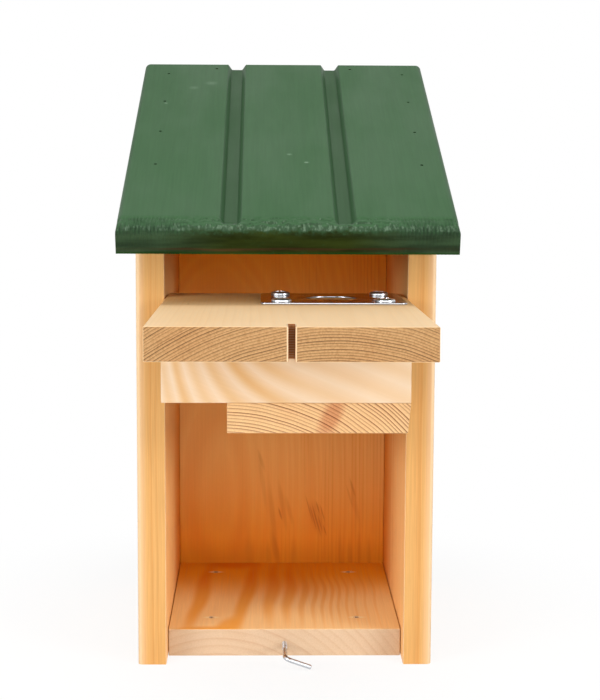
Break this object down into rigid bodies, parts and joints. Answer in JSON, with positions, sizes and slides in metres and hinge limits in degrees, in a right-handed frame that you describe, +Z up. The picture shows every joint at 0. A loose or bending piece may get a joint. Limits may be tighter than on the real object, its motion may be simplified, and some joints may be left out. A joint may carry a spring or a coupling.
{
  "type": "bird nest box",
  "caption": "Pine nest box with a sloping green roof and an upswinging door that carries a porch, a baffle, a steel entrance plate and locks on a turn hook.",
  "frame": {"origin": "middle of the walls' footprint, on the underside that the box stands on", "axes": "+Z up, +Y from the door to the back, +X to the right seen from the door; the door is open at rest"},
  "size_m": [0.2, 0.4261, 0.3859],
  "materials": {
    "pine": "planed, satin",
    "green_paint": "painted, eggshell",
    "plate_steel": "bright",
    "zinc_steel": "zinc plated",
    "nail_steel": "plain"
  },
  "bodies": {
    "box": {"left_side": "pine", "right_side": "pine", "back_panel": "pine", "floor_board": "pine", "front_header": "pine", "roof": "green_paint", "pivot_pin_left": "zinc_steel", "pivot_pin_right": "zinc_steel", "roof_nails_left": "nail_steel", "roof_nails_right": "nail_steel", "roof_nails_back": "nail_steel", "wall_nails_left": "nail_steel", "wall_nails_right": "nail_steel", "floor_nails": "nail_steel"},
    "door": {"door": "pine", "porch_floor": "pine", "baffle": "pine", "entrance_plate": "plate_steel", "plate_screws": "zinc_steel", "porch_nails": "nail_steel", "baffle_nails": "nail_steel"},
    "hook": {"turn_hook": "zinc_steel"}
  },
  "joints": [
    {"name": "door_swing", "type": "hinge", "parent": "box", "child": "door", "pos_m": [0, -0.09525, 0.2275], "axis": [1, 0, 0], "range_deg": [-18, 92]},
    {"name": "hook_turn", "type": "hinge", "parent": "box", "child": "hook", "pos_m": [0, -0.08575, 0.0082], "axis": [0, -1, 0], "range_deg": [-70.6, 109.4]}
  ]
}
